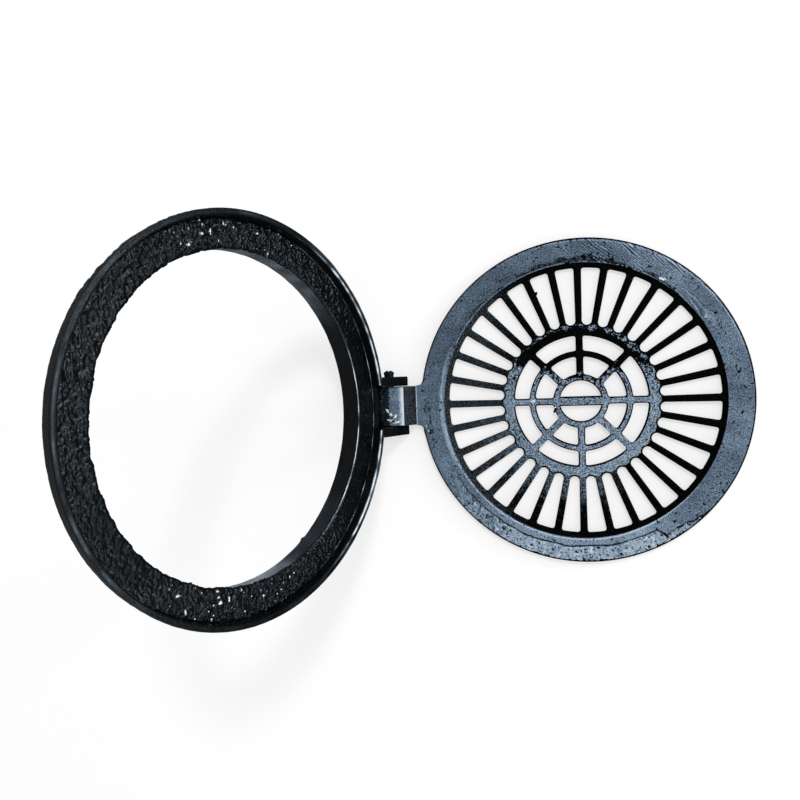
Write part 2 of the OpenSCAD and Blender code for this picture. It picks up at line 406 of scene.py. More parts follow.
class DRAIN_PG_stage(bpy.types.PropertyGroup):
    """Camera, floor and lamps"""
    camera_place: bpy.props.FloatVectorProperty(
        name="Camera place", description="In metres", subtype="XYZ", default=(-0.0112, 0.018906, 0.461811))
    camera_right: bpy.props.FloatVectorProperty(
        name="Camera right", description="Direction of the image's right side", subtype="DIRECTION",
        default=(0.97534917, -0.03516538, -0.21784718))
    camera_up: bpy.props.FloatVectorProperty(
        name="Camera up", description="Direction of the image's top", subtype="DIRECTION",
        default=(0.02724939, 0.99885833, -0.0392365))
    lens: bpy.props.FloatProperty(name="Lens", description="Focal length in mm on 36 mm", default=32.4969)
    floor_side: bpy.props.FloatProperty(
        name="Floor side", description="Side of the square floor", unit="LENGTH", default=6.0)


# Materials

def blend_colours(tree, factor, low, high):
    """A mix of two colours by a factor."""
    return add(tree, "ShaderNodeMix", {0: factor, 6: low, 7: high}, data_type="RGBA").outputs[2]


def grate_paint():
    """Black dip paint: deep black and rough as cast on the bars, and blue-grey on the rim and on most of the
    medallion, whose raised faces were dressed flat; the blue-grey is rubbed paint and a painted reflection of the
    overhead light."""
    material, tree, out = new_material("dip_paint_rubbed_satin")
    finish = bpy.context.scene.drain_finish
    where = on_object(tree)
    apart = add(tree, "ShaderNodeSeparateXYZ", {0: where})
    x, y = apart.outputs["X"], apart.outputs["Y"]
    radius = add(tree, "ShaderNodeVectorMath", {0: where}, operation="LENGTH").outputs["Value"]
    ragged = grain(tree, where, 3.2, 3, 0.65)
    fine = grain(tree, where, 0.75, 3, 0.7)
    cloud = grain(tree, where, 14, 2, 0.5)
    sand = grain(tree, where, 0.42, 2, 0.7)
    flat, worn_and_sheen = noted(tree, "dressed_and_sheen"), noted(tree, "worn_and_sheen")
    shift = times(tree, minus(tree, ragged, 0.5), 26 * MM)
    # The top of the medallion was left as cast: y above 15 mm + 0.22 |x|, with a ragged border
    slant = times(tree, combine(tree, "ABSOLUTE", x, 0.0), 0.22)
    border = minus(tree, plus(tree, y, shift), slant)
    as_cast = spread(tree, border, 14 * MM, 16 * MM)
    strip = times(tree, minus(tree, grain(tree, where, 5, 3, 0.7), 0.5), 11 * MM)
    strip = plus(tree, strip, times(tree, x, 0.035), radius)
    edge_strip = spread(tree, strip, 44.9 * MM, 45.6 * MM)
    inside = spread(tree, radius, 47.6 * MM, 47.0 * MM)
    medallion = times(tree, inside, highest(tree, edge_strip, minus(tree, 1.0, as_cast)))
    on_rim = spread(tree, radius, 84.6 * MM, 84.9 * MM)
    # The bars below and left of the medallion are rubbed near it, in grains
    toward = plus(tree, times(tree, x, -0.5), times(tree, y, -0.86))
    low_left = spread(tree, combine(tree, "DIVIDE", toward, radius), 0.5, 0.9)
    reach = plus(tree, radius, times(tree, shift, 2.2))
    bars = times(tree, low_left, spread(tree, reach, 68 * MM, 52 * MM))
    bars = times(tree, bars, spread(tree, grain(tree, where, 0.9, 2, 0.6), 0.44, 0.53))
    rubbed_and_sheen = times(tree, highest(tree, highest(tree, medallion, on_rim), bars), flat)
    # Black specks, rare on the rim and dense towards the as-cast top of the medallion
    dense = times(tree, inside, spread(tree, border, -8 * MM, 14 * MM, 0.05, 0.19))
    pits = spread(tree, minus(tree, grain(tree, where, 1.5, 2, 0.6), dense), 0.35, 0.29)
    rubbed_and_sheen = times(tree, rubbed_and_sheen, minus(tree, 1.0, pits))
    grit = times(tree, minus(tree, grain(tree, where, 0.8, 2, 0.7), 0.44), 0.7)
    tone = plus(tree, times(tree, fine, 0.55), times(tree, cloud, 0.15), times(tree, sand, 0.3),
                times(tree, worn_and_sheen, 0.4), times(tree, inside, grit))
    # Painted highlights: a bright band on the knuckle along its edge to the slope and a bright line along the tab's
    # edge; painted shade darkens the knuckle's far side
    on_tab = spread(tree, combine(tree, "ABSOLUTE", y, 0.0), 12.6 * MM, 12.2 * MM)
    near_slope = times(tree, spread(tree, x, -113.5 * MM, -109.6 * MM), 0.3)
    far_side = times(tree, spread(tree, x, -118 * MM, -121.5 * MM), -0.5)
    painted_glint_and_shade = times(tree, plus(tree, near_slope, far_side), spread(tree, x, -106 * MM, -107 * MM))
    line_start = spread(tree, x, -104.2 * MM, -103.8 * MM)
    line_end = spread(tree, x, -102.3 * MM, -103.1 * MM, 0.0, 0.22)
    painted_glint_and_shade = plus(tree, painted_glint_and_shade, times(tree, line_start, line_end))
    tone = plus(tree, tone, times(tree, painted_glint_and_shade, on_tab))
    slate = ramp(tree, tone, [(0.36, "#1b242d"), (0.47, "#4a5866"), (0.54, finish.slate), (0.64, "#9db1c6"),
                              (0.8, "#dfe8f0")])
    # The as-cast black glistens in grains on the left and stays plain on the right
    sandy = plus(tree, sand, spread(tree, x, -20 * MM, -62 * MM, 0.0, 0.15))
    black = ramp(tree, sandy, [(0.58, "#010202"), (0.68, "#07090a"), (0.75, "#4a555f"), (0.88, "#8c99a4")])
    height = minus(tree, fine, times(tree, pits, 0.8))
    bump = add(tree, "ShaderNodeBump", {"Height": height, "Distance": 0.35 * MM, "Strength": 0.8})
    shader = add(tree, "ShaderNodeBsdfPrincipled", {
        "Base Color": blend_colours(tree, rubbed_and_sheen, black, slate),
        "Roughness": spread(tree, rubbed_and_sheen, 0.0, 1.0, 0.3, 0.42),
        "Normal": bump.outputs["Normal"], "IOR": 1.5, "Specular IOR Level": 0.02,
    })
    tree.links.new(shader.outputs[0], out.inputs[0])
    return material


def bare_iron():
    """Bare cast iron where the paint has chipped off: light, dull and slightly grainy."""
    material, tree, out = new_material("chipped_bare_cast_iron")
    where = on_object(tree)
    fine = grain(tree, where, 0.6, 2, 0.6)
    colour = ramp(tree, fine, [(0.36, "#9aa5ae"), (0.5, "#e3e9ec"), (0.65, "#fbfcfc")])
    bump = add(tree, "ShaderNodeBump", {"Height": fine, "Distance": 0.15 * MM, "Strength": 0.6})
    shader = add(tree, "ShaderNodeBsdfPrincipled", {
        "Base Color": colour, "Roughness": 0.4, "Metallic": 0.25, "Normal": bump.outputs["Normal"],
    })
    tree.links.new(shader.outputs[0], out.inputs[0])
    return material


def bitumen_frame_paint():
    """Glossy black bitumen paint over sand-cast iron, grey along the lip, its edges and inside the skirt: rubbed
    paint, painted highlights and a painted reflection.
    """
    return bitumen("glossy_bitumen_on_sand_cast_iron", 0.2, 0.36, 0.2)


def bitumen_crust_paint():
    """The same bitumen run thick and wet-looking over the sand crust of the seat."""
    return bitumen("wet_bitumen_on_sand_crust", 0.12, 0.26, 0.28)


def bitumen(name, smooth, dull, depth):
    """Black bitumen paint between two roughnesses, with a relief of depth mm, grey where the mesh carries rubbed
    paint and painted highlights.
    """
    finish = bpy.context.scene.drain_finish
    material, tree, out = new_material(name)
    where = on_object(tree)
    coarse = grain(tree, where, 1.8, 3, 0.65)
    fine = grain(tree, where, 0.6, 2, 0.6)
    black = ramp(tree, grain(tree, where, 9, 3, 0.6), [(0.3, "#010202"), (0.75, finish.bitumen)])
    rubbed_and_sheen = noted(tree, "rubbed_and_sheen")
    bare = ramp(tree, plus(tree, rubbed_and_sheen, times(tree, fine, 0.3)),
                [(0.3, "#1d2329"), (0.62, "#3d464e"), (0.95, "#9aa5ad"), (1.0, "#d5dce1")])
    colour = blend_colours(tree, spread(tree, rubbed_and_sheen, 0.05, 0.5), black, bare)
    rough = spread(tree, coarse, 0.3, 0.7, smooth, dull)
    height = plus(tree, coarse, times(tree, fine, 0.6))
    bump = add(tree, "ShaderNodeBump", {"Height": height, "Distance": depth * MM, "Strength": 0.5})
    shader = add(tree, "ShaderNodeBsdfPrincipled", {
        "Base Color": colour, "Roughness": rough, "Normal": bump.outputs["Normal"], "IOR": 1.5,
        "Specular IOR Level": 0.22, "Specular Tint": linear("#dbe8f2"),
    })
    tree.links.new(shader.outputs[0], out.inputs[0])
    return material


def white_floor():
    """Matt white table. The camera sees pure white in the open and soft grey where a shadow falls."""
    material, tree, out = new_material("matt_white_table")
    path = add(tree, "ShaderNodeLightPath")
    seen = path.outputs["Is Camera Ray"]
    # Reflected in the black paint, the table is dim, as the dark side of the studio is
    mirrored = blend_colours(tree, path.outputs["Is Glossy Ray"], linear("#f4f4f4"), linear("#6a6e72"))
    diffuse = add(tree, "ShaderNodeBsdfDiffuse", {"Color": blend_colours(tree, seen, mirrored, linear("#bcbcbc"))})
    glow = add(tree, "ShaderNodeEmission", {"Color": linear("#ffffff"),
                                            "Strength": times(tree, seen, 0.56)})
    both = add(tree, "ShaderNodeAddShader", {0: diffuse.outputs[0], 1: glow.outputs[0]})
    tree.links.new(both.outputs[0], out.inputs[0])
    return material


# Operators, one for each piece

class DRAIN_OT_grate(bpy.types.Operator):
    """Grate casting: the CAD shape with every edge rounded by casting and paint"""
    bl_idname = "drain.grate_casting"
    bl_label = "Grate casting"

    def execute(self, context):
        s = context.scene.drain_grate
        obj = merged_copy("grate", "grate_casting")
        mesh = obj.data
        work = bmesh.new()
        work.from_mesh(mesh)
        weight = work.edges.layers.float.new("bevel_weight_edge")
        for edge in work.edges:
            if len(edge.link_faces) != 2 or edge.calc_face_angle_signed(0) < math.radians(25):
                continue
            middle = (edge.verts[0].co + edge.verts[1].co) / 2
            reach = math.hypot(middle.x, middle.y) / MM
            edge[weight] = s.edge_round / s.bar_round
            if middle.z / MM > s.bar_height - 0.01 and s.medallion_r - 0.3 < reach < s.slot_r + 0.3:
                edge[weight] = 1.0
            elif middle.z / MM > s.bar_height - 0.01 and reach < s.medallion_r:
                edge[weight] = s.opening_round / s.bar_round
        work.to_mesh(mesh)
        work.free()
        bevel = obj.modifiers.new("Edge round", "BEVEL")
        bevel.width = s.bar_round * MM
        bevel.segments = 3
        bevel.limit_method = "WEIGHT"
        bevel.use_clamp_overlap = False
        rounded = bpy.data.meshes.new_from_object(obj.evaluated_get(context.evaluated_depsgraph_get()))
        rounded.name = "grate_casting"
        obj.modifiers.clear()
        obj.data = rounded
        normal = np.empty(len(rounded.polygons) * 3)
        rounded.polygons.foreach_get("normal", normal)
        centre = np.empty(len(rounded.polygons) * 3)
        rounded.polygons.foreach_get("center", centre)
        reach = np.hypot(*centre.reshape(-1, 3)[:, :2].T) / MM
        on_bar = (reach > s.medallion_r + 0.6) & (reach < s.slot_r)
        # Faces that face up are blue-grey: rubbed paint, and a painted reflection of the overhead light
        dressed_and_sheen = normal.reshape(-1, 3)[:, 2] > np.where(on_bar, 0.6, 0.97)
        # The rim's own top is left black: it shows as a line round the dressed skin
        dressed_and_sheen &= np.abs(centre.reshape(-1, 3)[:, 2] / MM - s.rim_height) > 0.05
        note(rounded, "dressed_and_sheen", dressed_and_sheen, "FACE")
        finish_piece(obj, material_of(grate_paint), "grate", 180)
        obj.modifiers.new("Flat faces", "WEIGHTED_NORMAL").weight = 80
        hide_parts("grate")
        return {"FINISHED"}


class DRAIN_OT_rim_skin(bpy.types.Operator):
    """Dressed skin of the rim: its flat face with flow lines, a rough lower patch, pits, a ragged inner edge, and
    painted highlights and shading
    """
    bl_idname = "drain.rim_skin"
    bl_label = "Rim skin"

    def execute(self, context):
        s = context.scene.drain_grate
        turns, rows = 1560, 44
        angle = np.arange(turns) * 2 * math.pi / turns
        off_tab = np.degrees(np.abs(angle - math.pi))
        tab = unit((8.9 - off_tab) / 1.9) ** 2.6
        outer = s.rim_outer - s.skin_inset
        outer = outer + tab * (s.tab_end / np.cos(np.radians(np.minimum(off_tab, 8))) - outer)
        share = np.linspace(0, 1, rows)
        share = 0.5 - 0.5 * np.cos(share * math.pi) * 0.25 - 0.75 * (0.5 - share)
        share = (share - share[0]) / (share[-1] - share[0])
        inner = s.rim_inner + 0.05 - 0.9 * window((np.degrees(angle) + 180) % 360, 95, 250, 40)
        radius = inner[:, None] + (outer - inner)[:, None] * share[None]
        x = radius * np.cos(angle)[:, None]
        y = radius * np.sin(angle)[:, None]
        flat = np.stack([x, y, np.zeros_like(x)], axis=-1).reshape(-1, 3)
        r = radius.ravel()
        degrees = np.broadcast_to(np.degrees(angle)[:, None], radius.shape).ravel()
        noise, arc = samplers(flat, degrees)
        from_inner = r - np.repeat(inner, rows)
        from_outer = np.broadcast_to(outer[:, None], radius.shape).ravel() - r
        edge = unit(np.minimum(from_inner, from_outer) / 0.55)
        relief = s.skin_relief * (0.5 * noise(7, 11) + 0.4 * noise(2.2, 12))
        dressed_and_sheen = np.ones(len(flat))
        # Flow lines on the upper right, 1.4 mm apart, like the grain of wood at 45 degrees to X
        c, d = math.cos(math.radians(-46)), math.sin(math.radians(-46))
        across = flat[:, 1] * c - flat[:, 0] * d
        drift = np.stack([(flat[:, 0] * c + flat[:, 1] * d) / 3, across, flat[:, 2]], axis=1)
        bent = across / 1.4 + 2.0 * lattice_noise(drift, 7, 13) + 0.3 * lattice_noise(drift, 1.7, 36)
        waves = np.tanh(1.8 * np.sin(2 * math.pi * bent)) * (0.6 + 0.9 * lattice_noise(drift, 3, 37))
        flow = arc(4, 112, 44)
        relief += 0.35 * s.flow_height * flow * waves
        # The flow lines' lighter and darker stripes are painted shading of their ripples
        worn_and_sheen = 0.25 * flow * waves
        # The rim is lighter at the bottom and the right, darker at the top and left
        worn_and_sheen += 0.07 * np.cos(np.radians(degrees + 60)) + 0.12 * arc(215, 330, 40)
        worn_and_sheen += 0.07 * arc(22, 84, 22) - 0.1 * arc(292, 346, 18)
        worn_and_sheen -= 0.12 * arc(75, 175, 30) * unit(1 - from_inner / 7)
        # Painted highlights: bright lines along the inner edge on the left and bottom, and along the outer edge on
        # the upper right
        worn_and_sheen += 0.3 * ridge(from_inner, 1.9, 1.0) * arc(150, 212, 14)
        worn_and_sheen += 0.4 * ridge(from_inner, 0.75, 0.35) * arc(176, 330, 20)
        worn_and_sheen += 0.25 * ridge(from_outer, 0.9, 0.35) * arc(8, 120, 20)
        # Ragged, unrubbed band along the inner edge, from 1 to 10 o'clock
        ragged = (1.6 + 1.5 * noise(5, 14) + 0.8 * noise(1.6, 15)
                  + 2.6 * arc(75, 112, 14))
        band = unit((ragged - from_inner) / 0.5) * arc(34, 166, 12)
        relief += band * (0.16 * noise(1.2, 16) + 0.12 * noise(2.4, 17) - 0.04)
        dressed_and_sheen -= band * (0.75 + 0.5 * noise(1.0, 18))
        # Rough patch on the lower rim: a shallow step, outside a line some 4.6 mm from the inner edge
        line = 5.0 + 0.5 * noise(9, 19) + 0.3 * noise(2, 20)
        line += 5.6 * unit((degrees - 298.5) / 1.6) + 5.0 * unit((degrees - 304) / 14)
        line += 0.9 * noise(2.6, 27) * unit((degrees - 298.5) / 2)
        sector = arc(202, 324, 5)
        faded = arc(202, 340, 24)
        beyond = unit((from_inner - line) / 0.3) * sector
        relief += beyond * (-s.patch_step + 0.09 * noise(1.1, 21))
        wide = 0.4 + 0.7 * arc(297.8, 300.8, 0.6)
        groove = ridge(from_inner, line, wide) * sector
        relief -= 0.06 * groove
        dressed_and_sheen -= groove * faded * (1.9 + 1.2 * noise(2.2, 22))
        worn_and_sheen += beyond * faded * (0.12 + 0.45 * noise(1.4, 28) * noise(4, 29))
        pits = unit(noise(1.0, 23) - 0.5) * 5 * beyond * faded
        pits = np.maximum(pits, unit(noise(1.1, 38) - 0.62) * 5)
        # Flakes beside the tab, and one deep pit on the lower left
        tab_flakes = unit(noise(1.5, 24) + 0.1) * 1.8
        tab_flakes *= arc(176, 197, 5) * window(r, 93.4, 98.2, 1.6)
        pits = np.maximum(pits, tab_flakes)
        pit = np.exp(-np.sum((flat[:, :2] - np.array([-58.5, -72.2])) ** 2, axis=1) / 0.7)
        pits = np.maximum(pits, 1.2 * pit)
        relief -= 0.16 * unit(pits)
        relief += 0.1 * tab_flakes * (noise(0.9, 25) > 0.1)
        dressed_and_sheen -= 1.1 * unit(pits)
        # A painted highlight: a thin bright line along the rim's inner edge, above the as-cast band
        rim_edge_highlight = ridge(from_inner, 0.25, 0.3) * arc(48, 182, 20)
        dressed_and_sheen = np.maximum(dressed_and_sheen, rim_edge_highlight)
        worn_and_sheen += 0.3 * rim_edge_highlight
        top = s.rim_height - 0.05 + edge * (s.skin_thickness + 0.05 + relief)
        top = np.minimum(top, s.rim_height + s.skin_limit)
        top = np.where(edge >= 1, np.maximum(top, s.rim_height + 0.01), top)
        points = np.concatenate([
            np.stack([x, y, top.reshape(x.shape)], axis=-1),
            np.stack([x[:, ::-1], y[:, ::-1], np.full_like(x, s.rim_height - 0.9)], axis=-1)[:, 1:-1:5],
        ], axis=1)
        columns = points.shape[1]
        obj = make_piece("rim_skin", points.reshape(-1, 3) * MM, grid_faces(turns, columns),
                         material_of(grate_paint), "grate", smooth_angle=50)
        values = np.ones((turns, columns))
        values[:, :rows] = unit(dressed_and_sheen).reshape(turns, rows)
        note(obj.data, "dressed_and_sheen", values.ravel())
        values = np.zeros((turns, columns))
        values[:, :rows] = worn_and_sheen.reshape(turns, rows)
        note(obj.data, "worn_and_sheen", values.ravel())
        return {"FINISHED"}


class DRAIN_OT_frame(bpy.types.Operator):
    """Frame casting: lip, lumpy seat and skirt turned as one, with the notch between its lugs"""
    bl_idname = "drain.frame_casting"
    bl_label = "Frame casting"

    def execute(self, context):
        s = context.scene.drain_frame
        material = material_of(bitumen_frame_paint)
        corners = [
            (s.lip_r, 0), (s.flange_r, 0), (s.flange_foot_r, s.flange_bottom_z),
            (s.skirt_r, s.flange_bottom_z - s.plate_fall), (s.skirt_r, -s.height),
            (s.clear_r, -s.height), (s.clear_r, s.seat_z - s.seat_sink), (s.lip_foot_r, s.seat_z - s.seat_sink),
        ]
        radii = [0.45, 0.5, 0.5, 1.2, 0.6, 0.5, 0.5, 0.4]
        profile = spaced(rounded_outline(corners, radii, 4), 1.1)
        edge = math.asin(s.notch_half / s.lip_foot_r)
        turn = np.concatenate([
            np.linspace(-edge, edge, 33), np.linspace(edge, 2 * math.pi - edge, 720)[1:-1]])
        turn = np.insert(turn, 33, edge + 0.0015)
        turn = np.append(turn, 2 * math.pi - edge - 0.0015)
        radius, phi = np.meshgrid(profile[:, 0], turn)
        height, _ = np.meshgrid(profile[:, 1], turn)
        in_notch = np.abs((phi + math.pi) % (2 * math.pi) - math.pi) <= edge + 1e-6
        height = np.where(in_notch, np.minimum(height, s.seat_z), height)
        radius = np.where(in_notch, np.minimum(radius, s.bay_x / np.cos(phi)), radius)
        flat = np.stack([radius * np.cos(phi), radius * np.sin(phi), height], axis=-1).reshape(-1, 3)
        r, z = np.hypot(flat[:, 0], flat[:, 1]), flat[:, 2]
        inner = unit((s.lip_foot_r - r) / 4) * unit((s.seat_z - z) / 3)
        degrees = np.degrees(phi.ravel()) % 360
        noise, arc = samplers(flat, degrees)
        outer = unit((r - s.skirt_r - 1) / 3) * unit((0.1 - z) / 1.2)
        swell = 0.14 * noise(3.5, 6) * inner
        # The outer wall is knobbly, most of all on the upper left, where the mould had broken away
        knobs = 0.2 * noise(3.0, 7) + 0.24 * noise(1.5, 8)
        swell -= outer * (knobs * (0.5 + arc(95, 160, 20)) - 0.05)
        flat[:, :2] *= (1 - swell / r)[:, None]
        # A raised flaw on the inside of the skirt, lower right
        flaw = ridge(degrees, 303, 0.9) * unit((s.clear_r + 1.5 - r) / 1.5)
        flat[:, :2] *= (1 - 1.1 * flaw * unit((-8 - z) / 6) / r)[:, None]
        # A line along the lip, halfway across, as the skin sagged over its outer edge
        top = unit((z + 0.6) / 0.6) * ridge(r, s.flange_r - 1.6, 0.35)
        flat[:, 2] -= 0.16 * top
        points = np.clip(leaned(flat, s) * MM, *np.array(CAD_BOX))
        ring = make_piece("frame_casting", points, grid_faces(len(turn), len(profile)), material, "frame")
        # Grey on the outer half of the lip, as rubbed paint and painted sheen, and painted highlights as bright lines
        # along its edges on the hinge side
        on_lip = window(r, s.lip_r + 0.7, s.flange_r - 0.3, 0.5) * unit((z + 0.5) / 0.4)
        rubbed_and_sheen = on_lip * (0.2 - 0.08 * arc(225, 330, 30) + 0.2 * noise(9, 46))
        near_hinge = window((degrees + 180) % 360, 105, 262, 40)
        painted_edge_lines = np.exp(-((r - s.lip_r) ** 2 + z ** 2) / 0.7) + np.exp(-((r - s.flange_r + 0.2) ** 2 + z ** 2) / 0.2)
        rubbed_and_sheen += near_hinge * painted_edge_lines * (0.95 + 0.5 * noise(4, 47))
        # The inside of the skirt is painted grey at the top and most of all at the bottom: a painted reflection of
        # the bright surroundings
        wall = unit(s.clear_r + 0.9 - r) * unit((s.seat_z - 1.5 - z) / 1.5)
        rubbed_and_sheen += wall * (0.56 * arc(22, 130, 30) + 0.3 * arc(294, 334, 14)
                          + 0.74 * arc(225, 312, 34)) * (1 + 0.15 * noise(6, 51))
        # A painted highlight: a thin bright line along the lip near its outer edge on the left
        painted_lip_highlight = np.exp(-((r - s.flange_r + 1.1) ** 2 / 0.1 + z ** 2)) * arc(120, 235, 25)
        rubbed_and_sheen += painted_lip_highlight * (0.3 + 0.4 * noise(3, 48))
        note(ring.data, "rubbed_and_sheen", unit(rubbed_and_sheen))
        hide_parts("frame")
        self.crust(s)
        self.lugs(s, material)
        return {"FINISHED"}

    def crust(self, s):
        """Sand crust on the seat: height = folded noise of 1 to 3 mm + round grains, over radius and angle,
        rolled over the seat's inner edge with ragged burrs and closed underneath, inside the plate."""
        base = s.seat_z - s.crust_depth
        flat_rows, seen_rows = 42, 48
        top = np.linspace(s.lip_foot_r + 0.5, s.clear_r + 0.5, flat_rows)
        roll = np.linspace(0, math.pi / 2, 5)[1:]
        section = np.concatenate([
            np.stack([top, np.full(flat_rows, base)], axis=1),
            np.stack([s.clear_r + 0.5 - 0.6 * np.sin(roll), base - 0.6 * (1 - np.cos(roll))], axis=1),
            [(s.clear_r - 0.1, s.seat_z - 2.0), (s.clear_r - 0.06, s.seat_z - 2.4),
             (s.clear_r + 0.4, s.seat_z - 3.0), (s.clear_r + 4, s.seat_z - 2.8),
             (s.lip_foot_r - 4, s.seat_z - 2.8), (s.lip_foot_r + 0.6, s.seat_z - 2.0)],
        ])
        turns = 1500
        angle = np.arange(turns) * 2 * math.pi / turns
        radius = np.broadcast_to(section[None, :, 0], (turns, len(section)))
        height = np.broadcast_to(section[None, :, 1], (turns, len(section)))
        points = np.stack([radius * np.cos(angle)[:, None], radius * np.sin(angle)[:, None], height], axis=-1)
        points = points.reshape(-1, 3)
        degrees = np.degrees(np.repeat(angle, len(section)))
        noise, arc = samplers(points, degrees)
        row = np.tile(np.arange(len(section)), turns)
        shown = np.where(row < seen_rows, 1.0, 0.0) * np.clip(row / 3, 0.25, 1)
        rough = 0.72 + 0.28 * arc(40, 150, 35) + 0.33 * arc(232, 318, 25)
        rough -= 0.42 * arc(190, 242, 16) + 0.42 * window((degrees + 180) % 360, 126, 226, 24)
        rough -= 0.14 * arc(140, 206, 20)
        coarse, fine = np.abs(noise(2.5, 31)), np.abs(noise(1.35, 32))
        lumps = 0.62 * coarse / (0.22 + coarse) + 0.5 * fine / (0.22 + fine) + 0.22 * noise(4.4, 33)
        chance = np.random.default_rng(34)
        count = 420
        spot = chance.random(count) * 2 * math.pi
        out = s.clear_r - 0.2 + (s.lip_foot_r - s.clear_r - 0.4) * chance.random(count) ** 1.3
        sizes = 0.5 + 0.7 * chance.random(count) ** 2
        # Larger burrs on the seat's inner edge: angle in degrees and size in mm
        burrs = np.array([(111, 1.5), (109.5, 1.1), (128, 1.3), (146, 0.9), (165, 1.1), (182, 0.9), (197, 0.8),
                          (214, 1.0), (229, 1.2), (243, 0.9), (258, 1.0), (272, 0.8), (66, 0.9), (84, 0.8)])
        spot = np.append(spot, np.radians(burrs[:, 0]))
        out = np.append(out, np.full(len(burrs), s.clear_r - 0.1))
        sizes = np.append(sizes, burrs[:, 1])
        places = np.stack([out * np.cos(spot), out * np.sin(spot), np.full(len(out), base)], axis=1)
        grains = nodules(points, places, sizes)
        rise = shown * rough * (s.lump_height * lumps + 0.55 * grains)
        over = row >= flat_rows
        points[:, 2] += np.where(over, 0, np.clip(rise, -0.2, s.crust_depth + 0.08))
        # The sand sags over the edge on the left, by 1 mm and more
        sag = unit((row - 34) / 8) * (row < seen_rows)
        sag = sag * (0.15 + 1.15 * arc(118, 308, 40)) * (1 + 0.35 * noise(3.4, 35))
        r = np.hypot(points[:, 0], points[:, 1])
        points[:, :2] *= (1 - (sag + np.where(over, np.clip(rise, -0.2, 1.2), 0)) / r)[:, None]
        crust = make_piece("seat_sand_crust", leaned(points, s) * MM, grid_faces(turns, len(section)),
                           material_of(bitumen_crust_paint), "frame", smooth_angle=70)
        side = (degrees + 180) % 360
        # Painted highlights: thin bright lines on the hinge side, where the crust rolls over and at the lip's foot
        painted_edge_highlights = window(side, 112, 222, 20) * over * (row <= flat_rows + 1)
        painted_edge_highlights += 0.8 * window(side, 104, 262, 24) * (row >= 2) * (row <= 3)
        painted_edge_highlights *= 0.72 + 0.5 * noise(7, 49)
        # Painted glints on the highest lumps, at the bottom and the top of the ring
        painted_glints = unit(noise(1.6, 50) + 0.5 * lumps - 0.9) * 5 * (row < flat_rows + 2)
        painted_glints = painted_glints * (0.12 + arc(226, 300, 24) + 0.8 * arc(56, 128, 26))
        note(crust.data, "rubbed_and_sheen", unit(np.maximum(painted_edge_highlights, painted_glints)))
        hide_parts("frame")

    def lugs(self, s, material):
        """Each lug: its side outline carried across its thickness, drawn in at both faces by the edge's round."""
        pin_x, pin_z = abs(HINGE["pos_m"][0]) / MM, HINGE["pos_m"][2] / MM
        end = (s.lug_r - pin_z * math.cos(s.open_angle)) / math.sin(s.open_angle)
        inner = s.flange_foot_r - s.lug_root - pin_x
        seat = s.seat_z + pin_z
        corners = [
            (s.lip_r + 0.6 - pin_x, pin_z), (end - 1, pin_z),
            (end - 1.4, pin_z - 1), (s.lug_r * math.sin(s.open_angle), s.lug_r * math.cos(s.open_angle)),
            (s.lug_r * 0.7, -s.lug_r * 0.72), (0, -s.lug_r),
            (s.flange_foot_r - pin_x, -s.lug_r), (inner, s.flange_bottom_z + pin_z - 0.1),
            (inner, seat - 1.9), (s.lip_r + 0.6 - pin_x, seat - 1.9),
        ]
        outline = spaced(rounded_outline(corners, [0.6, 1.2, 0.9, 4, 4, 4, 2, 0.8, 0.3, 0.3], 6), 0.9)
        edge = 0.7
        ahead = np.roll(outline, -1, axis=0) - np.roll(outline, 1, axis=0)
        normal = np.stack([ahead[:, 1], -ahead[:, 0]], axis=1)
        normal /= np.linalg.norm(normal, axis=1)[:, None]
        if np.sum(outline[:, 0] * np.roll(outline[:, 1], -1) - outline[:, 1] * np.roll(outline[:, 0], -1)) < 0:
            normal = -normal
        turn = np.linspace(0, math.pi / 2, 5)
        inset = np.concatenate([edge * (1 - np.sin(turn)), edge * (1 - np.sin(turn[::-1]))])
        across = np.concatenate([edge * (1 - np.cos(turn)), s.lug_t - edge * (1 - np.cos(turn[::-1]))])
        for side, name in ((-1, "frame_lug_lower"), (1, "frame_lug_upper")):
            shell = outline[None] - normal[None] * inset[:, None, None]
            y = np.broadcast_to((side * (s.lug_y + across))[:, None], shell.shape[:2])
            points = np.stack([shell[..., 0] + pin_x, y, shell[..., 1] - pin_z], axis=-1).reshape(-1, 3)
            rows, columns = len(inset), len(outline)
            lug = make_piece(name, leaned(points, s) * MM, grid_faces(rows, columns, close_rows=False),
                             material, "frame", end_caps(rows, columns))
            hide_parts("frame")


